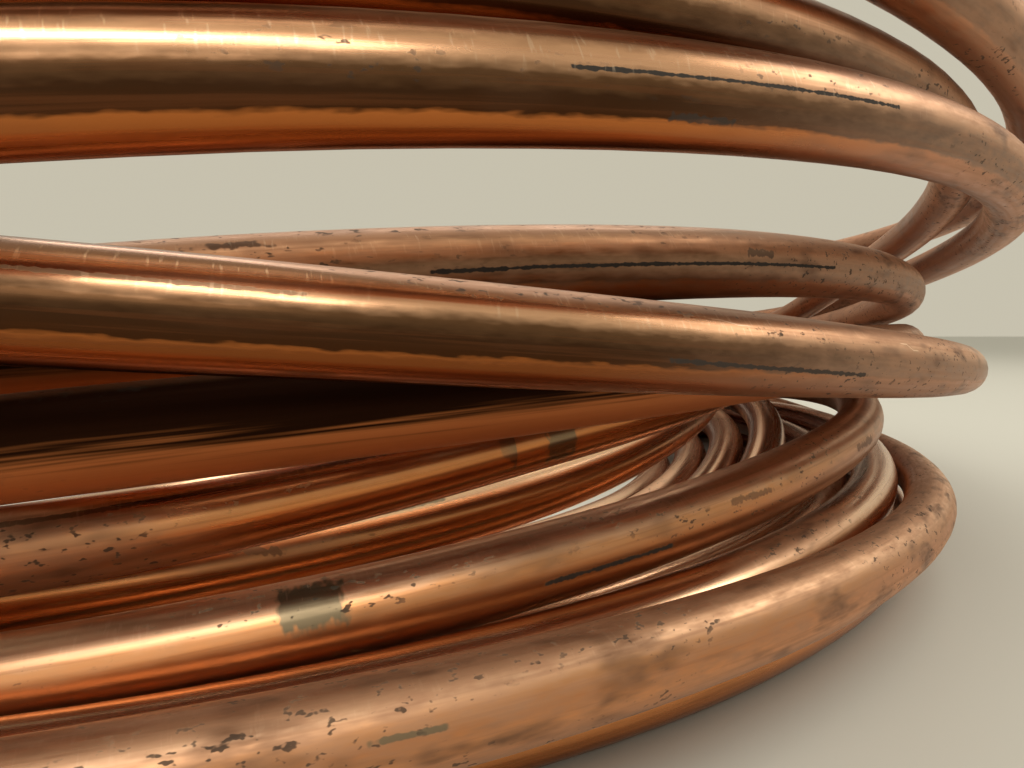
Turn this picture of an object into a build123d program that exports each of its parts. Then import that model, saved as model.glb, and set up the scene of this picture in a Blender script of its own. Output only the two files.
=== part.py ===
from build123d import *
import math
import os

# One length of soft copper tube, wound into a coil that has sprung loose and lies flat.
# The coil's axis is +Z, it rests on Z = 0, and both of its cut ends are open.

TUBE_DIA = 10.0
WALL = 1.0
OUTER_SIDES = 12
INNER_SIDES = 7
RUNS_PER_TURN = 20
PITCH = 1.04 * TUBE_DIA
END_LENGTH = 40.0

# Bearings are in degrees from +X. The turns are known from FIRST_BEARING on, for SEEN bends.
FIRST_BEARING = -90.0
SEEN = 7
STATIONS = (0, 2, 4, 6)

# Each turn's (reach from the axis, height of the middle of the tube) in tube diameters, at the
# bends named in STATIONS. The turns stand in order from the inner end to the outer end.
TURNS = [
    ((16.10, 0.50), (16.70, 0.50), (16.20, 0.60), (16.10, 0.50)),
    ((17.20, 0.50), (17.80, 0.50), (17.25, 1.20), (17.20, 1.00)),
    ((18.25, 0.50), (19.00, 0.50), (18.30, 1.80), (18.30, 1.50)),
    ((19.30, 0.50), (20.20, 0.50), (19.40, 2.40), (19.40, 2.00)),
    ((20.35, 0.50), (21.65, 1.15), (20.85, 1.50), (20.70, 1.50)),
    ((22.05, 0.50), (22.65, 0.50), (22.60, 0.50), (22.00, 0.50)),
    ((23.80, 1.25), (23.90, 1.70), (23.05, 1.50), (22.70, 2.00)),
    ((22.75, 1.15), (22.80, 1.50), (21.95, 1.90), (21.65, 1.65)),
    ((21.25, 1.10), (22.30, 2.50), (21.60, 3.30), (21.00, 2.50)),
    ((20.30, 1.80), (19.10, 2.50), (17.70, 3.50), (18.70, 4.50)),
    ((21.50, 2.30), (20.05, 3.65), (19.45, 4.55), (19.10, 5.80)),
    ((20.45, 2.80), (20.70, 4.55), (20.50, 4.85), (20.40, 5.35)),
    ((20.50, 4.30), (21.75, 5.00), (21.50, 4.45), (20.60, 4.30)),
    ((21.45, 3.70), (22.80, 4.65), (22.50, 4.85), (21.60, 4.90)),
    ((22.90, 4.35), (22.25, 6.10), (22.80, 6.00), (22.90, 4.65)),
    ((23.10, 5.90), (23.90, 4.90), (23.90, 4.20), (25.15, 4.50)),
    ((24.20, 5.55), (24.70, 7.50), (24.60, 7.50), (25.05, 5.80)),
    ((23.85, 6.75), (24.15, 8.40), (23.40, 8.15), (23.75, 5.30)),
    ((24.60, 9.15), (24.80, 9.40), (25.10, 8.95), (25.45, 8.45)),
]

# The inner end springs up inside the coil, and the outer end springs away from it.
INNER_END = [(-0.1, 0.4), (-0.4, 1.1), (-0.9, 2.0)]
OUTER_END = [(0.1, -0.3), (0.3, -0.6), (0.6, -0.9), (1.0, -1.1)]

EASE = 1.5
SETTLE_ROUNDS = 240
SPREAD_ROUNDS = 60
SAG = 0.002 * TUBE_DIA


def seen_place(turn, bend):
    """Reach and height of one bend on the known side, as one complex number."""
    place = 0j
    for station, known in zip(STATIONS, turn):
        weight = 1.0
        for other in STATIONS:
            if other != station:
                weight *= (bend - other) / (station - other)
        place += weight * complex(*known)
    return TUBE_DIA * place


def even_route():
    """Each bend's reach and height, running evenly from one turn to the next behind."""
    places = {}
    for k, turn in enumerate(TURNS):
        for bend in range(SEEN):
            places[RUNS_PER_TURN * k + bend] = seen_place(turn, bend)
    for k in range(len(TURNS) - 1):
        start = RUNS_PER_TURN * k + SEEN - 1
        end = RUNS_PER_TURN * (k + 1)
        slope_away = places[start] - places[start - 1]
        slope_back = places[end + 1] - places[end]
        for i in range(start + 1, end):
            gone = i - start
            left = end - i
            u = gone / (end - start)
            places[i] = places[start] + (places[end] - places[start]) * u * u * (3 - 2 * u)
            places[i] += slope_away * gone * math.exp(-gone / EASE)
            places[i] -= slope_back * left * math.exp(-left / EASE)
    last = RUNS_PER_TURN * (len(TURNS) - 1) + SEEN - 1
    for n, step in enumerate(INNER_END, 1):
        places[-n] = places[0] + TUBE_DIA * complex(*step)
    for n, step in enumerate(OUTER_END, 1):
        places[last + n] = places[last] + TUBE_DIA * complex(*step)
    return places


def settled_route():
    """The bends' places once the turns lie on one another and on the bench."""
    places = even_route()
    known = {i for i in places if 0 <= i and i % RUNS_PER_TURN < SEEN}
    shift = {i: 0j for i in places}
    order = sorted(places)
    pairs = [(i, j) for i in order for j in range(i + RUNS_PER_TURN, order[-1] + 1, RUNS_PER_TURN)]
    for settling in range(SETTLE_ROUNDS + SPREAD_ROUNDS):
        if settling < SETTLE_ROUNDS:
            eased = {}
            for i in shift:
                if i not in known:
                    before = shift.get(i - 1, shift[i])
                    after = shift.get(i + 1, shift[i])
                    eased[i] = 0.3 * shift[i] + 0.35 * (before + after) - SAG * 1j
            shift.update(eased)
        for i, j in pairs:
            apart = places[j] + shift[j] - places[i] - shift[i]
            if abs(apart) < PITCH:
                push = apart * (PITCH / abs(apart) - 1) / 2
                shift[i] -= push
                shift[j] += push
            if j + 1 in places:
                after = places[j + 1] + shift[j + 1] - places[i + 1] - shift[i + 1]
                halfway = (apart + after) / 2
                if abs(halfway) < PITCH:
                    push = halfway * (PITCH / abs(halfway) - 1) / 2
                    for n in (0, 1):
                        shift[i + n] -= push
                        shift[j + n] += push
        for i in shift:
            lift = TUBE_DIA / 2 - places[i].imag - shift[i].imag
            if lift > 0:
                shift[i] += lift * 1j
    return [(i, places[i] + shift[i]) for i in sorted(places)]


points = []
for i, place in settled_route():
    bearing = math.radians(FIRST_BEARING + 360 / RUNS_PER_TURN * i)
    points.append(Vector(place.real * math.cos(bearing), place.real * math.sin(bearing), place.imag))

with BuildPart() as copper_tube:
    with BuildLine() as centre:
        Polyline(*points)
    with BuildSketch(Plane(origin=points[0], x_dir=(0, 0, 1), z_dir=points[1] - points[0])):
        RegularPolygon(TUBE_DIA / 2, OUTER_SIDES)
        RegularPolygon(TUBE_DIA / 2 - WALL, INNER_SIDES, mode=Mode.SUBTRACT)
    sweep(transition=Transition.RIGHT)

    # The cut ends are straight and truly round, so that a fitting goes on them.
    for tip, neighbour in ((points[0], points[1]), (points[-1], points[-2])):
        with BuildSketch(Plane(origin=tip, x_dir=(0, 0, 1), z_dir=tip - neighbour)):
            Circle(TUBE_DIA / 2)
            Circle(TUBE_DIA / 2 - WALL, mode=Mode.SUBTRACT)
        extrude(amount=END_LENGTH)

# The origin is the middle of the coil's outline, on the bench.
box = copper_tube.part.bounding_box()
copper_tube.part = copper_tube.part.moved(Location((-box.center().X, -box.center().Y, -box.min.Z)))
copper_tube.part.label = "copper_tube"
os.makedirs("parts", exist_ok=True)
export_step(copper_tube.part, "parts/copper_tube.step")
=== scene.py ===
import math

import bmesh
import bpy
from bpy.props import FloatProperty, FloatVectorProperty, IntProperty, PointerProperty
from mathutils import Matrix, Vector


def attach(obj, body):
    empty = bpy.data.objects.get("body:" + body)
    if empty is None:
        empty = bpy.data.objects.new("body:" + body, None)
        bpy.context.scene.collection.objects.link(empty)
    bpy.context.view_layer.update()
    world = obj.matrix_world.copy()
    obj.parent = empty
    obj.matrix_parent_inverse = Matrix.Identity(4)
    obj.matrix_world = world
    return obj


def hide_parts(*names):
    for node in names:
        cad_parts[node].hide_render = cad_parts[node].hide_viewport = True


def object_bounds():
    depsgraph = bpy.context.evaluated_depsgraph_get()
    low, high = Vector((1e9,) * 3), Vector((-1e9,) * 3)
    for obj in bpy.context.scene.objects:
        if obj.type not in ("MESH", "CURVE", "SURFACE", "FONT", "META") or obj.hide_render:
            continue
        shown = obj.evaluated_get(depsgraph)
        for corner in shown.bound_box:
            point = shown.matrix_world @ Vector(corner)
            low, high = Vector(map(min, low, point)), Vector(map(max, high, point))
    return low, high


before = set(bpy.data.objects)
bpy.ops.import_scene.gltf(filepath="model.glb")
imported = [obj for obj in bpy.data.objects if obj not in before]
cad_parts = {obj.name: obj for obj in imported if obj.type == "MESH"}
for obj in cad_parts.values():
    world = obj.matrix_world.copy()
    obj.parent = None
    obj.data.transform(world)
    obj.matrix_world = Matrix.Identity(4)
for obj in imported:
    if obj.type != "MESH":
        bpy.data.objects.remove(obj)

bl_info = {
    "name": "Copper Tube Coil",
    "version": (1, 0, 0),
    "blender": (4, 5, 0),
    "location": "View3D > Sidebar > Copper Coil",
    "description": "A loosely sprung coil of bare soft copper tube on a pale bench",
    "category": "Object",
}

CAD_LOW, CAD_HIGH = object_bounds()
NODE = "copper_tube"
MM = 0.001

# The route of the tube, by the same rule as the solid's. Each turn's (reach from the axis,
# height of the tube's middle) in tube diameters, at the bends named in STATIONS.
RUNS_PER_TURN = 20
FIRST_BEARING = -90.0
SEEN = 7
STATIONS = (0, 2, 4, 6)
TURNS = [
    ((16.10, 0.50), (16.70, 0.50), (16.20, 0.60), (16.10, 0.50)),
    ((17.20, 0.50), (17.80, 0.50), (17.25, 1.20), (17.20, 1.00)),
    ((18.25, 0.50), (19.00, 0.50), (18.30, 1.80), (18.30, 1.50)),
    ((19.30, 0.50), (20.20, 0.50), (19.40, 2.40), (19.40, 2.00)),
    ((20.35, 0.50), (21.65, 1.15), (20.85, 1.50), (20.70, 1.50)),
    ((22.05, 0.50), (22.65, 0.50), (22.60, 0.50), (22.00, 0.50)),
    ((23.80, 1.25), (23.90, 1.70), (23.05, 1.50), (22.70, 2.00)),
    ((22.75, 1.15), (22.80, 1.50), (21.95, 1.90), (21.65, 1.65)),
    ((21.25, 1.10), (22.30, 2.50), (21.60, 3.30), (21.00, 2.50)),
    ((20.20, 2.00), (18.85, 2.30), (17.75, 3.60), (18.45, 4.55)),
    ((21.60, 2.56), (20.15, 3.78), (19.45, 4.55), (19.10, 5.80)),
    ((19.75, 2.50), (20.80, 4.45), (20.50, 4.85), (20.50, 5.70)),
    ((20.50, 4.30), (21.75, 5.00), (21.50, 4.45), (20.60, 4.30)),
    ((22.20, 3.32), (22.80, 4.65), (22.50, 4.85), (21.60, 4.90)),
    ((22.90, 4.35), (22.25, 6.10), (22.80, 6.00), (22.90, 4.65)),
    ((23.10, 5.90), (23.90, 4.90), (23.90, 4.20), (25.15, 4.50)),
    ((24.20, 5.55), (24.70, 7.50), (24.60, 7.50), (25.05, 5.80)),
    ((23.85, 6.75), (24.15, 8.40), (23.40, 8.15), (23.75, 5.30)),
    ((24.60, 9.15), (24.80, 9.40), (25.10, 8.95), (25.45, 8.45)),
]
INNER_END = [(-0.1, 0.4), (-0.4, 1.1), (-0.9, 2.0)]
OUTER_END = [(0.1, -0.3), (0.3, -0.6), (0.6, -0.9), (1.0, -1.1)]
CLEARANCE = 1.04      # least distance between the middles of two turns, in tube diameters
EASE = 1.5            # bends over which a turn's slope dies away
KEPT = 0.3            # share of its own shift that a bend keeps in a settling round
FOLLOWED = 0.35       # share that it takes from each neighbour
SETTLE_ROUNDS = 240
SPREAD_ROUNDS = 60
SAG = 0.002           # in tube diameters a round

# The cut ends: how far their edges are broken, and how deep the bore is, in tube diameters.
BURR = 0.15 * MM
BORE_DEPTH = 6

# Length of the tube's shallow waves.
WAVE_LENGTH = 0.03

# The coil's axis in the CAD frame, whose origin is the middle of the outline.
AXIS_AT = Vector((-3.95 * MM, -13.30 * MM, 0.0))

# The camera stands just outside the coil, low over the bench, and looks a little down.
CAMERA_AT = Vector((110 * MM, -285 * MM, 52 * MM))
CAMERA_PITCH = math.radians(4.0)
CAMERA_LENS = 27.07
CAMERA_NEAR = 5 * MM

# Lamps: name, place, width and height, share of the lamp power. All look at one point.
LAMPS = (
    ("lamp_front", (-0.08, -1.03, 1.03), (1.75, 0.15), 1.25),
    ("lamp_low", (-0.1, -1.4, 0.50), (1.6, 0.2), 0.2),
    ("lamp_over", (0.1, -0.2, 1.4), (0.7, 0.7), 0.2),
    ("lamp_back", (0.0, 0.9, 1.1), (1.4, 0.2), 0.7),
    ("lamp_right", (1.1, 0.1, 0.8), (0.5, 0.5), 0.3),
)
LAMPS_AIM = Vector((0.05, -0.15, 0.05))
LAMP_TINT = (1.0, 0.93, 0.80)
BENCH_HALF = 6.0


class CoilSettings(bpy.types.PropertyGroup):
    """Sizes and colours of the coil."""
    tube_dia: FloatProperty(name="Tube diameter", description="Outside diameter of the tube",
                            default=0.010, min=0.004, max=0.03, subtype="DISTANCE", unit="LENGTH")
    wall: FloatProperty(name="Wall", description="Thickness of the tube's wall",
                        default=0.001, min=0.0004, max=0.003, subtype="DISTANCE", unit="LENGTH")
    end_length: FloatProperty(name="Straight end", description="Length of each straight cut end",
                              default=0.040, min=0.01, max=0.1, subtype="DISTANCE", unit="LENGTH")
    sides: IntProperty(name="Sides", description="Faces round the tube", default=24, min=8, max=48)
    steps: IntProperty(name="Steps", description="Faces along each run of the route",
                       default=10, min=2, max=20)
    unevenness: FloatProperty(name="Unevenness", description="Depth of the hand-bent waves",
                              default=0.00014, min=0.0, max=0.001, subtype="DISTANCE",
                              unit="LENGTH", precision=5)
    dirt: FloatVectorProperty(name="Dirt", description="Colour of specks and ragged lines",
                              default=(0.03, 0.022, 0.018), subtype="COLOR", min=0, max=1)
    stain: FloatVectorProperty(name="Stain", description="Colour of grey-green water stains",
                               default=(0.17, 0.15, 0.10), subtype="COLOR", min=0, max=1)
    dull: FloatVectorProperty(name="Dull oxide", description="Colour of matt pinkish stretches",
                              default=(0.47, 0.265, 0.165), subtype="COLOR", min=0, max=1)
    # also the colour of the painted glints where the tube catches the light
    scratch: FloatVectorProperty(name="Scratch", description="Colour of fresh scratches",
                                 default=(0.95, 0.72, 0.52), subtype="COLOR", min=0, max=1)


class StageSettings(bpy.types.PropertyGroup):
    """Colours and light levels of the bench, the wall and the lamps."""
    bench: FloatVectorProperty(name="Bench", description="Colour of the surface it lies on",
                               default=(0.60, 0.60, 0.57), subtype="COLOR", min=0, max=1)
    wall: FloatVectorProperty(name="Wall", description="Colour of the surroundings",
                              default=(0.57, 0.53, 0.42), subtype="COLOR", min=0, max=1)
    lamp_power: FloatProperty(name="Lamp power", description="Power of the long front lamp",
                              default=8.0, min=0.0, max=200.0, subtype="POWER", unit="POWER")


# ---- route ----

def seen_place(turn, bend, dia):
    """Reach and height of one bend on the known side, as one complex number."""
    place = 0j
    for station, known in zip(STATIONS, turn):
        weight = 1.0
        for other in STATIONS:
            if other != station:
                weight *= (bend - other) / (station - other)
        place += weight * complex(*known)
    return dia * place


def even_route(dia):
    """Each bend's reach and height, running evenly from one turn to the next behind."""
    places = {}
    for k, turn in enumerate(TURNS):
        for bend in range(SEEN):
            places[RUNS_PER_TURN * k + bend] = seen_place(turn, bend, dia)
    for k in range(len(TURNS) - 1):
        start = RUNS_PER_TURN * k + SEEN - 1
        end = RUNS_PER_TURN * (k + 1)
        slope_away = places[start] - places[start - 1]
        slope_back = places[end + 1] - places[end]
        for i in range(start + 1, end):
            gone = i - start
            left = end - i
            u = gone / (end - start)
            places[i] = places[start] + (places[end] - places[start]) * u * u * (3 - 2 * u)
            places[i] += slope_away * gone * math.exp(-gone / EASE)
            places[i] -= slope_back * left * math.exp(-left / EASE)
    last = RUNS_PER_TURN * (len(TURNS) - 1) + SEEN - 1
    for n, step in enumerate(INNER_END, 1):
        places[-n] = places[0] + dia * complex(*step)
    for n, step in enumerate(OUTER_END, 1):
        places[last + n] = places[last] + dia * complex(*step)
    return places


def settled_route(dia):
    """The bends' places once the turns lie on one another and on the bench."""
    places = even_route(dia)
    known = {i for i in places if 0 <= i and i % RUNS_PER_TURN < SEEN}
    shift = {i: 0j for i in places}
    order = sorted(places)
    pairs = [(i, j) for i in order for j in range(i + RUNS_PER_TURN, order[-1] + 1, RUNS_PER_TURN)]
    pitch = CLEARANCE * dia
    for settling in range(SETTLE_ROUNDS + SPREAD_ROUNDS):
        if settling < SETTLE_ROUNDS:
            eased = {}
            for i in shift:
                if i not in known:
                    before = shift.get(i - 1, shift[i])
                    after = shift.get(i + 1, shift[i])
                    eased[i] = KEPT * shift[i] + FOLLOWED * (before + after) - SAG * dia * 1j
            shift.update(eased)
        for i, j in pairs:
            apart = places[j] + shift[j] - places[i] - shift[i]
            if abs(apart) < pitch:
                push = apart * (pitch / abs(apart) - 1) / 2
                shift[i] -= push
                shift[j] += push
            if j + 1 in places:
                after = places[j + 1] + shift[j + 1] - places[i + 1] - shift[i + 1]
                halfway = (apart + after) / 2
                if abs(halfway) < pitch:
                    push = halfway * (pitch / abs(halfway) - 1) / 2
                    for n in (0, 1):
                        shift[i + n] -= push
                        shift[j + n] += push
        for i in shift:
            lift = dia / 2 - places[i].imag - shift[i].imag
            if lift > 0:
                shift[i] += lift * 1j
    return [(i, places[i] + shift[i]) for i in sorted(places)]


def route_points(coil):
    """The route in metres in the CAD frame, with the tips of the straight ends."""
    points = []
    for i, place in settled_route(coil.tube_dia):
        bearing = math.radians(FIRST_BEARING + 360 / RUNS_PER_TURN * i)
        points.append(AXIS_AT + Vector((place.real * math.cos(bearing),
                                        place.real * math.sin(bearing), place.imag)))
    tip_in = points[0] + (points[0] - points[1]).normalized() * coil.end_length
    tip_out = points[-1] + (points[-1] - points[-2]).normalized() * coil.end_length
    return [tip_in] + points + [tip_out]


def distances(points):
    """Distance along the route to each of its points."""
    along = [0.0]
    for a, b in zip(points, points[1:]):
        along.append(along[-1] + (b - a).length)
    return along


# ---- node helpers ----

class Nodes:
    """A node tree with short calls for adding and wiring nodes."""

    def __init__(self, tree):
        self.tree = tree

    def add(self, kind, inputs=(), **settings):
        node = self.tree.nodes.new(kind)
        for name, value in settings.items():
            setattr(node, name, value)
        for name, value in dict(inputs).items():
            self.feed(node.inputs[name], value)
        return node

    def feed(self, socket, value):
        if isinstance(value, bpy.types.NodeSocket):
            self.tree.links.new(value, socket)
        elif isinstance(value, bpy.types.Node):
            self.tree.links.new(value.outputs[0], socket)
        else:
            socket.default_value = value

    def math(self, operation, *values, clamp=False):
        node = self.add("ShaderNodeMath", operation=operation, use_clamp=clamp)
        for socket, value in zip(node.inputs, values):
            self.feed(socket, value)
        return node.outputs[0]

    def mix(self, amount, a, b):
        node = self.add("ShaderNodeMix", data_type="RGBA")
        for socket, value in ((node.inputs[0], amount), (node.inputs[6], a), (node.inputs[7], b)):
            self.feed(socket, value)
        return node.outputs[2]

    def ramp(self, value, low, high):
        """A smooth step from 0 at low to 1 at high."""
        node = self.add("ShaderNodeMapRange", interpolation_type="SMOOTHSTEP")
        for name, v in (("Value", value), ("From Min", low), ("From Max", high)):
            self.feed(node.inputs[name], v)
        return node.outputs[0]

    def fall(self, value, low, high):
        """A smooth step from 1 at low to 0 at high."""
        return self.math("SUBTRACT", 1.0, self.ramp(value, low, high))

    def between(self, value, begins, full, fades, ends):
        """1 between full and fades, 0 outside begins and ends."""
        return self.math("MULTIPLY", self.ramp(value, begins, full), self.fall(value, fades, ends))

    def scaled(self, value, factor):
        return self.math("MULTIPLY", value, factor)

    def noise(self, place, scale, detail=2.0, rough=0.5):
        node = self.add("ShaderNodeTexNoise", {"Vector": place, "Scale": scale, "Detail": detail,
                                               "Roughness": rough})
        return node.outputs[0]

    def streaks(self, place, across, along, offset=0.0, detail=1.0, rough=0.5):
        """Noise with its own number of waves to a metre across and along the tube."""
        spread = self.add("ShaderNodeMapping", {
            "Vector": place, "Location": (offset, offset * 0.7, offset * 1.3),
            "Scale": (across, across, along)})
        return self.noise(spread.outputs[0], 1.0, detail, rough)

    def centred(self, value):
        return self.math("SUBTRACT", value, 0.5)


def colour(rgb):
    """A colour with its alpha, as nodes take it."""
    return (*rgb, 1.0)


# ---- tube shape ----

def tube_tree():
    """Geometry nodes: a smooth curve through the route, a round section, and slight waves."""
    tree = bpy.data.node_groups.new("coil_tube", "GeometryNodeTree")
    face = tree.interface
    face.new_socket("Geometry", in_out="INPUT", socket_type="NodeSocketGeometry")
    for name in ("Tube Radius", "Unevenness", "Wave Length"):
        face.new_socket(name, in_out="INPUT", socket_type="NodeSocketFloat")
    for name in ("Sides", "Steps"):
        face.new_socket(name, in_out="INPUT", socket_type="NodeSocketInt")
    face.new_socket("Material", in_out="INPUT", socket_type="NodeSocketMaterial")
    face.new_socket("Geometry", in_out="OUTPUT", socket_type="NodeSocketGeometry")
    n = Nodes(tree)
    given = n.add("NodeGroupInput").outputs
    curve = n.add("GeometryNodeMeshToCurve", {"Mesh": given["Geometry"]})
    curve = n.add("GeometryNodeCurveSplineType", {"Curve": curve}, spline_type="CATMULL_ROM")
    curve = n.add("GeometryNodeSetSplineResolution", {"Geometry": curve,
                                                      "Resolution": given["Steps"]})
    middle = n.add("GeometryNodeInputPosition")
    held = n.add("GeometryNodeCaptureAttribute", domain="POINT")
    held.capture_items.new("VECTOR", "Middle")
    n.feed(held.inputs["Geometry"], curve)
    n.feed(held.inputs["Middle"], middle)
    ring = n.add("GeometryNodeCurvePrimitiveCircle", {"Resolution": given["Sides"],
                                                      "Radius": given["Tube Radius"]})
    tube = n.add("GeometryNodeCurveToMesh", {"Curve": held.outputs["Geometry"],
                                             "Profile Curve": ring.outputs[0]})

    # Each point's place on the tube: how far it faces outwards, how far up, and how far along.
    offset = n.add("ShaderNodeVectorMath", operation="SUBTRACT")
    n.feed(offset.inputs[0], n.add("GeometryNodeInputPosition").outputs[0])
    n.feed(offset.inputs[1], held.outputs["Middle"])
    out = n.add("ShaderNodeVectorMath", operation="SUBTRACT")
    n.feed(out.inputs[0], held.outputs["Middle"])
    out.inputs[1].default_value = AXIS_AT
    flat = n.add("ShaderNodeVectorMath", operation="MULTIPLY")
    n.feed(flat.inputs[0], out.outputs[0])
    flat.inputs[1].default_value = (1, 1, 0)
    unit = n.add("ShaderNodeVectorMath", operation="NORMALIZE")
    n.feed(unit.inputs[0], flat.outputs[0])
    outward = n.add("ShaderNodeVectorMath", operation="DOT_PRODUCT")
    n.feed(outward.inputs[0], offset.outputs[0])
    n.feed(outward.inputs[1], unit.outputs[0])
    up = n.add("ShaderNodeSeparateXYZ", {"Vector": offset.outputs[0]})
    along = n.add("GeometryNodeInputNamedAttribute", {"Name": "along"}, data_type="FLOAT")
    place = n.add("ShaderNodeCombineXYZ", {"X": outward.outputs["Value"], "Y": up.outputs["Z"],
                                           "Z": along.outputs["Attribute"]})
    stored = n.add("GeometryNodeStoreNamedAttribute", {"Geometry": tube, "Name": "tube_place",
                                                       "Value": place.outputs[0]},
                   data_type="FLOAT_VECTOR", domain="POINT")

    # Soft tube is never quite even: long shallow waves, always inwards.
    size = n.math("DIVIDE", 1.0, given["Wave Length"])
    wave = n.noise(n.add("GeometryNodeInputPosition").outputs[0], size, detail=1.0)
    depth = n.math("MULTIPLY", n.math("MULTIPLY", wave, given["Unevenness"]), -1.0)
    push = n.add("ShaderNodeVectorMath", operation="SCALE")
    n.feed(push.inputs[0], n.add("GeometryNodeInputNormal").outputs[0])
    n.feed(push.inputs["Scale"], depth)
    moved = n.add("GeometryNodeSetPosition", {"Geometry": stored, "Offset": push.outputs[0]})
    smooth = n.add("GeometryNodeSetShadeSmooth", {"Geometry": moved, "Shade Smooth": True})
    real = n.add("GeometryNodeRealizeInstances", {"Geometry": smooth})
    done = n.add("GeometryNodeSetMaterial", {"Geometry": real, "Material": given["Material"]})
    n.add("NodeGroupOutput", {"Geometry": done})
    return tree


def run_tree(obj, tree, values):
    """Runs a geometry tree on an object and leaves the result as its plain mesh."""
    modifier = obj.modifiers.new("made", "NODES")
    modifier.node_group = tree
    for item in tree.interface.items_tree:
        if item.item_type == "SOCKET" and item.in_out == "INPUT" and item.name in values:
            modifier[item.identifier] = values[item.name]
    bpy.context.view_layer.update()
    shown = obj.evaluated_get(bpy.context.evaluated_depsgraph_get())
    mesh = bpy.data.meshes.new_from_object(shown, preserve_all_data_layers=True,
                                           depsgraph=bpy.context.evaluated_depsgraph_get())
    obj.modifiers.remove(modifier)
    obj.data = mesh


def open_rims(bm):
    """The points round each of the mesh's openings, in order."""
    left = [v for v in bm.verts if v.is_boundary]
    rims = []
    while left:
        rim = []
        ahead = left[:1]
        while ahead:
            rim.append(ahead[0])
            ahead = [e.other_vert(rim[-1]) for e in rim[-1].link_edges if e.is_boundary]
            ahead = [v for v in ahead if v not in rim]
        left = [v for v in left if v not in rim]
        rims.append(rim)
    return rims


def cut_ends(mesh, coil):
    """Closes both open ends with a square cut face, a rounded edge and a deep bore."""
    bm = bmesh.new()
    bm.from_mesh(mesh)
    radius = coil.tube_dia / 2
    bore = radius - coil.wall
    steps = ((radius - BURR, 0.0), (bore + BURR, 0.0), (bore, BURR),
             (bore, BORE_DEPTH * coil.tube_dia))
    for rim in open_rims(bm):
        middle = sum((v.co for v in rim), Vector()) / len(rim)
        inner = [e.other_vert(rim[0]) for e in rim[0].link_edges if not e.is_boundary]
        behind = inner[0].co - rim[0].co
        inward = (behind - rim[0].normal * behind.dot(rim[0].normal)).normalized()
        for v in rim:
            v.co += inward * BURR
        ring = rim
        for wide, deep in steps:
            made = []
            for v in rim:
                arm = v.co - middle
                arm -= inward * arm.dot(inward)
                made.append(bm.verts.new(middle + arm.normalized() * wide + inward * deep, v))
            for i in range(len(rim)):
                bm.faces.new((ring[i - 1], ring[i], made[i], made[i - 1]))
            ring = made
        bm.faces.new(ring)
    bmesh.ops.recalc_face_normals(bm, faces=bm.faces)
    for f in bm.faces:
        f.smooth = True
    bm.to_mesh(mesh)
    bm.free()


# ---- copper ----

# Painted reflections, highlights and shade round the tube, from the side that faces down to the
# side that faces up.
# High turns have a painted dark reflection band along the middle with a painted pale highlight
# above it;
# low turns are painted orange with the reflections of their neighbours.
HIGH_TURNS_PAINTED_LIGHT = (
    (0.00, (0.20, 0.050, 0.012)),
    (0.16, (0.45, 0.130, 0.030)),
    (0.345, (0.50, 0.160, 0.040)),
    (0.375, (0.06, 0.022, 0.008)),
    (0.47, (0.05, 0.022, 0.010)),
    (0.56, (0.16, 0.080, 0.038)),
    (0.64, (0.80, 0.460, 0.270)),
    (0.71, (0.74, 0.410, 0.230)),
    (0.79, (0.32, 0.150, 0.075)),
    (1.00, (0.20, 0.080, 0.035)),
)
LOW_TURNS_PAINTED_LIGHT = (
    (0.00, (0.30, 0.100, 0.030)),
    (0.28, (0.80, 0.330, 0.120)),
    (0.42, (0.58, 0.210, 0.065)),
    (0.53, (0.66, 0.310, 0.130)),
    (0.62, (0.92, 0.600, 0.390)),
    (0.74, (0.90, 0.550, 0.340)),
    (0.86, (0.86, 0.520, 0.320)),
    (1.00, (0.70, 0.380, 0.210)),
)

# Tones that lie over the ones above. Drawn lines and mottling are the copper's own; the rest are
# painted shade and painted reflections.
NEAR_INSIDE_PAINTED_REFLECTION = (0.80, 0.45, 0.26)
FAR_INSIDE_PAINTED_SHADE = (0.26, 0.07, 0.02)
DRAWN_LINES = (0.20, 0.07, 0.028)
SHADED_SIDE = (0.13, 0.036, 0.010)
LOW_SIDE_PAINTED_SHADE = (0.22, 0.10, 0.045)
MOTTLED = (0.17, 0.085, 0.05)
PAINTED_WALL_SHADE_TONE = (0.02, 0.007, 0.003)
PAINTED_WALL_REFLECTION_TONE = (0.42, 0.14, 0.045)

# How far round the painted reflections and highlights lean: degrees at the bench, and degrees for
# each metre above it.
LEAN_AT_BENCH = -36.0
LEAN_WITH_HEIGHT = 700.0

# Heights in metres: where the high turns' painted reflections and highlights take over, and the
# matt side's finish.
HIGH_FROM = (0.038, 0.050)
MATT_FROM = (0.041, 0.048)

# The outer turns half way up get painted shade below: the heights where that begins, is full,
# fades and ends, and the turn from which it holds.
HALF_WAY_UP = (0.040, 0.050, 0.057, 0.072)
OUTER_TURNS = (14.6, 14.7)

# Turns with a finish of their own, and turns with painted shade, as places where it begins, is
# full, fades and ends.
MATT_LOW_TURN = (5.95, 6.0, 6.3, 6.5)
# this low turn has a satin finish and also gets painted shade on its lower side
SATIN_AND_PAINTED_SHADE_LOW_TURN = (7.95, 8.0, 8.2, 8.3)
WALL_TURNS_PAINTED_SHADE = (10.95, 11.0, 13.15, 13.2)
MATT_HIGH_TURN = (13.95, 14.0, 14.2, 14.3)

# Bearings in degrees, given in the same way: the matt side, and the leaning wall that gets painted
# shade.
MATT_SIDE = (-62.0, -46.0, 10.0, 60.0)
WALL_SIDE_PAINTED_SHADE = (-125.0, -100.0, -55.0, -40.0)

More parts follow.
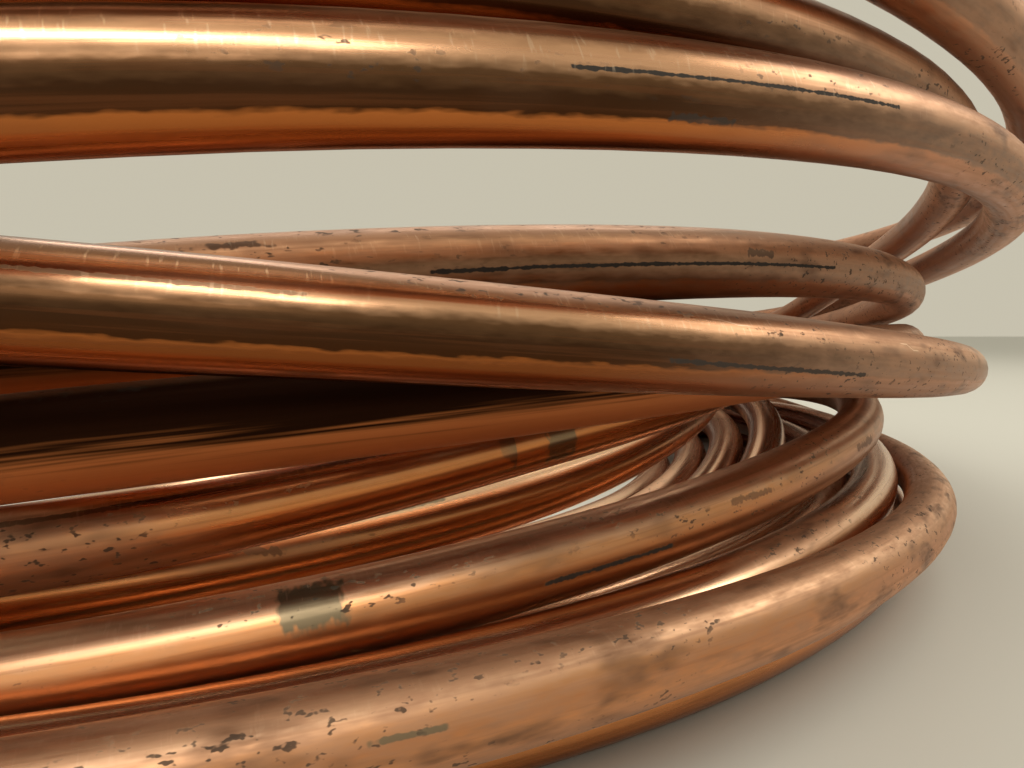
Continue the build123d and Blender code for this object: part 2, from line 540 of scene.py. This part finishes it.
# What has marked the tube: kind, turn, (bend, degrees round the tube) at both ends of the mark,
# half its width in degrees and how strong it is. 0 degrees faces outwards, 90 up. Marks of one
# kind on one turn stay 0.4 of a bend apart.
MARKS = (
    ("line", 16, (1.53, 3), (2.02, 4), 2.6, 1.0),
    ("line", 14, (1.49, -4), (2.48, -4), 3.2, 1.0),
    ("line", 8, (1.70, -6), (1.93, -9), 4.0, 1.0),
    ("line", 15, (1.76, -16), (2.17, -21), 3.5, 0.9),
    ("blot", 16, (1.66, -36), (1.70, -38), 5.0, 0.7),
    ("blot", 14, (2.18, 14), (2.22, 14), 7.0, 0.7),
    ("blot", 8, (2.16, 23), (2.24, 20), 6.0, 0.5),
    ("blot", 8, (2.80, 10), (2.93, 8), 9.0, 0.5),
    ("blot", 14, (1.19, 47), (1.22, 47), 7.0, 0.6),
    ("line", 15, (1.00, 29), (1.24, 26), 2.6, 0.55),
    ("stain", 10, (0.80, 46), (1.50, 52), 5.0, 0.7),
    ("stain", 10, (1.91, 4), (1.95, 4), 55.0, 0.8),
    ("blot", 9, (1.21, 36), (1.27, 24), 8.0, 0.45),
    ("stain", 9, (1.32, 52), (1.70, 54), 5.0, 0.7),
    ("stain", 8, (1.285, 44), (1.325, 44), 38.0, 0.9),
    ("stain", 6, (1.345, 17), (1.375, 16), 4.0, 0.8),
    ("scratch", 15, (1.83, 42), (1.86, 36), 1.2, 1.0),
    ("scratch", 15, (2.36, 34), (2.38, 24), 1.2, 1.0),
)
MARK_REACH = 0.007    # how far past a mark's ends its values are stored, in turns
MARK_FADE = 0.0016    # over how much of a turn its ends fade
RAGGED = {"line": 1.8, "blot": 2.2, "stain": 1.2, "scratch": 0.3}


def spread_marks(mesh):
    """Stores at each point where the mark of each kind that is nearest to it lies."""
    places = [0.0] * len(mesh.vertices)
    mesh.attributes["turns"].data.foreach_get("value", places)
    for kind in RAGGED:
        marks = [(turn + b0 / RUNS_PER_TURN, turn + b1 / RUNS_PER_TURN, a0, a1, width, strong)
                 for k, turn, (b0, a0), (b1, a1), width, strong in MARKS if k == kind]
        ends, angles = [], []
        for place in places:
            near = min(marks, key=lambda m: max(m[0] - place, place - m[1]))
            start, end, a0, a1, width, strong = near
            if max(start - place, place - end) > MARK_REACH:
                strong = 0.0
            ends += (start, end, width)
            angles += (a0, a1, strong)
        for name, values in (("ends", ends), ("angles", angles)):
            store = mesh.attributes.new(f"{kind}_{name}", "FLOAT_VECTOR", "POINT")
            store.data.foreach_set("vector", values)


def mark_group():
    """Shader group: the mask of a mark, a line or a patch with a ragged edge."""
    tree = bpy.data.node_groups.new("tube_mark", "ShaderNodeTree")
    for name, kind in (("Turns", "Float"), ("Angle", "Float"), ("Ragged", "Float"),
                       ("Ends", "Vector"), ("Angles", "Vector"), ("Fade", "Float")):
        tree.interface.new_socket(name, in_out="INPUT", socket_type="NodeSocket" + kind)
    tree.interface.new_socket("Mask", in_out="OUTPUT", socket_type="NodeSocketFloat")
    n = Nodes(tree)
    given = n.add("NodeGroupInput").outputs
    start, end, width = n.add("ShaderNodeSeparateXYZ", {"Vector": given["Ends"]}).outputs
    first, last, strong = n.add("ShaderNodeSeparateXYZ", {"Vector": given["Angles"]}).outputs
    span = n.math("SUBTRACT", end, start)
    gone = n.math("SUBTRACT", given["Turns"], start)
    part = n.math("DIVIDE", gone, span, clamp=True)
    middle = n.math("ADD", first, n.math("MULTIPLY", part, n.math("SUBTRACT", last, first)))
    across = n.math("DIVIDE", n.math("SUBTRACT", given["Angle"], middle), width)
    past = n.math("MAXIMUM", n.math("MULTIPLY", gone, -1.0), n.math("SUBTRACT", gone, span))
    beyond = n.math("DIVIDE", n.math("MAXIMUM", past, 0.0), given["Fade"])
    across = n.math("MULTIPLY", across, across)
    beyond = n.math("MULTIPLY", beyond, beyond)
    away = n.math("ADD", n.math("MULTIPLY", across, across), n.math("MULTIPLY", beyond, beyond))
    away = n.math("SQRT", n.math("SQRT", away))
    away = n.math("ADD", away, given["Ragged"])
    inside = n.math("MULTIPLY", n.fall(away, 0.6, 1.0), strong)
    n.add("NodeGroupOutput", {"Mask": inside})
    return tree


def painted_light_round_tube(n, at, table):
    """The painted reflections, highlights and shade at a place round the tube, 0 facing down to 1
    facing up.
    """
    ramp = n.add("ShaderNodeValToRGB", {"Fac": at})
    stops = ramp.color_ramp.elements
    while len(stops) < len(table):
        stops.new(0.5)
    for stop, (position, rgb) in zip(stops, table):
        stop.position = position
        stop.color = colour(rgb)
    return ramp.outputs[0]


def copper_material(coil):
    """Bare copper: painted reflections, highlights and shade round the tube, matt stretches, drawn
    lines, specks, marks and painted glints.
    """
    material = bpy.data.materials.new("bare_copper")
    material.use_nodes = True
    material.node_tree.nodes.clear()
    n = Nodes(material.node_tree)
    place = n.add("ShaderNodeAttribute", attribute_name="tube_place").outputs["Vector"]
    turns = n.add("ShaderNodeAttribute", attribute_name="turns").outputs["Fac"]
    outward, up, _ = n.add("ShaderNodeSeparateXYZ", {"Vector": place}).outputs
    spot = n.add("ShaderNodeTexCoord").outputs["Object"]
    x, y, z = n.add("ShaderNodeSeparateXYZ", {"Vector": spot}).outputs
    angle = n.math("DEGREES", n.math("ARCTAN2", up, outward))
    bearing = n.math("DEGREES", n.math("ARCTAN2", n.math("SUBTRACT", y, AXIS_AT.y),
                                       n.math("SUBTRACT", x, AXIS_AT.x)))
    height = n.math("SUBTRACT", z, up)

    # slow drifts along the tube, fine drawn lines, and a fine grain that frays every edge
    drift = n.centred(n.streaks(place, 60, 12))
    drawn = n.streaks(place, 1300, 26, 3.0, 2.0, 0.65)
    grain = n.centred(n.streaks(place, 900, 260, 9.0, 2.0, 0.65))

    # painted reflections and highlights round the tube: on lower turns they sit further round
    # towards the top
    lean = n.math("ADD", n.scaled(height, LEAN_WITH_HEIGHT), LEAN_AT_BENCH)
    round_at = n.math("ADD", angle, lean)
    round_at = n.math("ADD", round_at, n.scaled(drift, 26.0))
    round_at = n.math("ADD", round_at, n.scaled(grain, 16.0))
    at = n.math("ADD", n.math("DIVIDE", round_at, 180.0), 0.5)
    high_up = n.ramp(height, *HIGH_FROM)
    # the copper's tone round the tube is painted reflection, highlight and shade
    tone = n.mix(high_up, painted_light_round_tube(n, at, LOW_TURNS_PAINTED_LIGHT), painted_light_round_tube(n, at, HIGH_TURNS_PAINTED_LIGHT))
    # painted shade on the lower side of the outer turns half way up
    painted_shade_below = n.math("MULTIPLY", n.fall(round_at, -32.0, -22.0), n.between(height, *HALF_WAY_UP))
    painted_shade_below = n.math("MULTIPLY", painted_shade_below, n.ramp(turns, *OUTER_TURNS))
    tone = n.mix(n.scaled(painted_shade_below, 0.65), tone, colour(SHADED_SIDE))
    radius = coil.tube_dia / 2
    # the inward faces are painted: a pale reflection on the near side of the coil, dark shade on
    # the far side
    inner_side = n.ramp(outward, -0.3 * radius, -0.8 * radius)
    inside = n.mix(n.ramp(y, -0.15, -0.10), colour(NEAR_INSIDE_PAINTED_REFLECTION), colour(FAR_INSIDE_PAINTED_SHADE))
    tone = n.mix(inner_side, tone, inside)
    tone = n.mix(n.scaled(n.ramp(drawn, 0.48, 0.75), 0.35), tone, colour(DRAWN_LINES))

    # matt pinkish stretches, and mottling that is strongest on them
    satin_and_painted_shade_turn = n.between(turns, *SATIN_AND_PAINTED_SHADE_LOW_TURN)
    dull = n.math("MULTIPLY", n.between(bearing, *MATT_SIDE), n.ramp(height, *MATT_FROM))
    for stretch in (n.between(turns, *MATT_LOW_TURN),
                    n.scaled(n.between(turns, *MATT_HIGH_TURN), 0.8),
                    n.scaled(satin_and_painted_shade_turn, 0.5),
                    n.ramp(drift, 0.08, 0.2)):
        dull = n.math("MAXIMUM", dull, stretch)
    patchy = n.math("ADD", 0.72, n.scaled(n.math("ADD", drift, grain), 1.2), clamp=True)
    dull = n.math("MULTIPLY", dull, patchy)
    tone = n.mix(n.scaled(dull, 0.82), tone, colour(coil.dull))
    mottle = n.ramp(n.streaks(place, 260, 90, 51.0, 2.0, 0.6), 0.50, 0.72)
    mottle = n.math("MULTIPLY", mottle, n.math("ADD", 0.15, dull))
    tone = n.mix(n.scaled(mottle, 0.75), tone, colour(MOTTLED))
    # painted shade on the lower side of this low turn
    painted_under_shade = n.math("MULTIPLY", satin_and_painted_shade_turn, n.fall(angle, -12.0, 18.0))
    tone = n.mix(n.scaled(painted_under_shade, 0.6), tone, colour(LOW_SIDE_PAINTED_SHADE))

    # turns deep in the leaning wall get painted shade above and a painted brown reflection below
    deep = n.math("MULTIPLY", n.between(turns, *WALL_TURNS_PAINTED_SHADE), n.between(bearing, *WALL_SIDE_PAINTED_SHADE))
    deep = n.math("MULTIPLY", deep, n.ramp(outward, 0.0, 0.0025))
    frayed = n.math("ADD", angle, n.scaled(n.centred(drawn), 70.0))
    frayed = n.math("ADD", frayed, n.scaled(drift, 40.0))
    shade = n.mix(n.ramp(frayed, -24.0, 2.0), colour(PAINTED_WALL_REFLECTION_TONE), colour(PAINTED_WALL_SHADE_TONE))
    tone = n.mix(deep, tone, shade)

    # specks, thickest on the matt stretches
    crowd = n.math("ADD", n.streaks(place, 130, 30, 29.0), n.scaled(dull, 0.25))
    specks = n.ramp(n.streaks(place, 1000, 600, 23.0, 2.0, 0.7), 0.60, 0.67)
    specks = n.math("MULTIPLY", specks, n.ramp(crowd, 0.59, 0.74))

    # the marks of each kind
    fray = n.centred(n.streaks(place, 700, 1100, 41.0, 1.0, 0.7))
    group = mark_group()
    masks = {}
    for kind, ragged in RAGGED.items():
        stored = {name: n.add("ShaderNodeAttribute", attribute_name=f"{kind}_{name.lower()}")
                  for name in ("Ends", "Angles")}
        masks[kind] = n.add("ShaderNodeGroup", {
            "Turns": turns, "Angle": angle, "Ragged": n.scaled(fray, ragged), "Fade": MARK_FADE,
            **{name: node.outputs["Vector"] for name, node in stored.items()}},
            node_tree=group).outputs[0]
    dark_marks = n.math("MAXIMUM", masks["line"], masks["blot"])
    dirt = n.math("MAXIMUM", n.scaled(specks, 0.75), dark_marks)
    tone = n.mix(masks["stain"], tone, colour(coil.stain))
    tone = n.mix(dirt, tone, colour(coil.dirt))

    # painted glints: short fine bright streaks across the tube, only where it catches the light,
    # joined with the scratch marks
    painted_highlight_zone = n.between(round_at, 12.0, 30.0, 45.0, 70.0)
    painted_highlight_zone = n.math("MULTIPLY", painted_highlight_zone, n.math("SUBTRACT", 1.0, n.math("MAXIMUM", deep, dull)))
    painted_glint_ticks = n.ramp(n.streaks(place, 420, 2600, 31.0, 1.0, 0.6), 0.60, 0.70)
    painted_glint_ticks = n.math("MULTIPLY", painted_glint_ticks, painted_highlight_zone)
    scratch_marks_and_glints = n.math("MAXIMUM", n.scaled(painted_glint_ticks, 0.4), masks["scratch"])
    tone = n.mix(n.scaled(scratch_marks_and_glints, 0.7), tone, colour(coil.scratch))

    rough = n.math("ADD", 0.22, n.scaled(n.math("MAXIMUM", dull, deep), 0.34))
    rough = n.math("ADD", rough, n.scaled(n.ramp(drawn, 0.4, 0.7), 0.08))
    rough = n.math("ADD", rough, n.scaled(dirt, 0.3))
    metal = n.math("SUBTRACT", 1.0, n.scaled(dirt, 0.6))
    bump = n.add("ShaderNodeBump", {"Height": drawn, "Strength": 0.25, "Distance": 0.05 * MM})
    shader = n.add("ShaderNodeBsdfPrincipled", {"Base Color": tone, "Roughness": rough,
                                                "Metallic": metal, "Normal": bump.outputs[0]})
    n.add("ShaderNodeOutputMaterial", {"Surface": shader.outputs[0]})
    return material


class OBJECT_OT_copper_tube(bpy.types.Operator):
    """Makes the coiled copper tube with its cut ends and its finish."""
    bl_idname = "coil.copper_tube"
    bl_label = "Copper tube"

    def execute(self, context):
        coil = context.scene.copper_coil
        material = copper_material(coil)
        points = route_points(coil)
        mesh = bpy.data.meshes.new("coiled_tube")
        mesh.from_pydata(points, [(i, i + 1) for i in range(len(points) - 1)], [])
        along = mesh.attributes.new("along", "FLOAT", "POINT")
        along.data.foreach_set("value", distances(points))
        turns = mesh.attributes.new("turns", "FLOAT", "POINT")
        first = -len(INNER_END) - 1
        turns.data.foreach_set("value", [(first + i) / RUNS_PER_TURN for i in range(len(points))])
        tube = bpy.data.objects.new("coiled_tube", mesh)
        context.scene.collection.objects.link(tube)
        run_tree(tube, tube_tree(), {
            "Tube Radius": coil.tube_dia / 2, "Unevenness": coil.unevenness,
            "Wave Length": WAVE_LENGTH, "Sides": coil.sides, "Steps": coil.steps,
            "Material": material})
        cut_ends(tube.data, coil)
        spread_marks(tube.data)
        for v in tube.data.vertices:  # waves and bends stay within the solid's outline
            v.co = [min(max(c, low), high) for c, low, high in zip(v.co, CAD_LOW, CAD_HIGH)]
        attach(tube, "root")
        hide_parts(NODE)
        return {"FINISHED"}


class OBJECT_OT_coil_stage(bpy.types.Operator):
    """Makes the bench, the light and the camera."""
    bl_idname = "coil.stage"
    bl_label = "Stage"

    def execute(self, context):
        scene = context.scene
        stage = scene.coil_stage
        mesh = bpy.data.meshes.new("bench_top")
        corners = ((-1, -1), (1, -1), (1, 1), (-1, 1))
        mesh.from_pydata([(BENCH_HALF * x, BENCH_HALF * y, 0) for x, y in corners],
                         [], [(0, 1, 2, 3)])
        bench = bpy.data.objects.new("bench_top", mesh)
        scene.collection.objects.link(bench)
        material = bpy.data.materials.new("pale_bench")
        material.use_nodes = True
        shader = material.node_tree.nodes["Principled BSDF"]
        shader.inputs["Base Color"].default_value = colour(stage.bench)
        shader.inputs["Roughness"].default_value = 0.5
        mesh.materials.append(material)

        world = bpy.data.worlds.new("pale_room")
        world.use_nodes = True
        world.node_tree.nodes["Background"].inputs[0].default_value = colour(stage.wall)
        scene.world = world

        for name, at, size, power in LAMPS:
            light = bpy.data.lights.new(name, "AREA")
            light.shape = "RECTANGLE"
            light.size, light.size_y = size
            light.energy = stage.lamp_power * power
            light.color = LAMP_TINT
            lamp = bpy.data.objects.new(name, light)
            lamp.location = at
            look = LAMPS_AIM - Vector(at)
            lamp.rotation_euler = look.to_track_quat("-Z", "Y").to_euler()
            scene.collection.objects.link(lamp)

        camera = bpy.data.cameras.new("camera")
        camera.lens = CAMERA_LENS
        camera.sensor_width = 36.0
        camera.clip_start = CAMERA_NEAR
        eye = bpy.data.objects.new("camera", camera)
        eye.location = CAMERA_AT + AXIS_AT
        eye.rotation_euler = (math.pi / 2 - CAMERA_PITCH, 0.0, 0.0)
        scene.collection.objects.link(eye)
        scene.camera = eye
        scene.view_settings.view_transform = "Standard"
        return {"FINISHED"}


class VIEW3D_PT_copper_coil(bpy.types.Panel):
    """Lists the coil's settings and what makes each piece."""
    bl_label = "Copper Coil"
    bl_space_type = "VIEW_3D"
    bl_region_type = "UI"
    bl_category = "Copper Coil"

    def draw(self, context):
        layout = self.layout
        for group, operator in ((context.scene.copper_coil, OBJECT_OT_copper_tube),
                                (context.scene.coil_stage, OBJECT_OT_coil_stage)):
            box = layout.box()
            for name in group.__annotations__:
                box.prop(group, name)
            box.operator(operator.bl_idname)


CLASSES = (CoilSettings, StageSettings, OBJECT_OT_copper_tube, OBJECT_OT_coil_stage,
           VIEW3D_PT_copper_coil)


def register():
    for item in CLASSES:
        bpy.utils.register_class(item)
    bpy.types.Scene.copper_coil = PointerProperty(type=CoilSettings)
    bpy.types.Scene.coil_stage = PointerProperty(type=StageSettings)


def unregister():
    del bpy.types.Scene.coil_stage
    del bpy.types.Scene.copper_coil
    for item in reversed(CLASSES):
        bpy.utils.unregister_class(item)


def main():
    """Makes the coil and its stage."""
    register()
    bpy.ops.coil.copper_tube()
    bpy.ops.coil.stage()


if __name__ == "__main__":
    main()
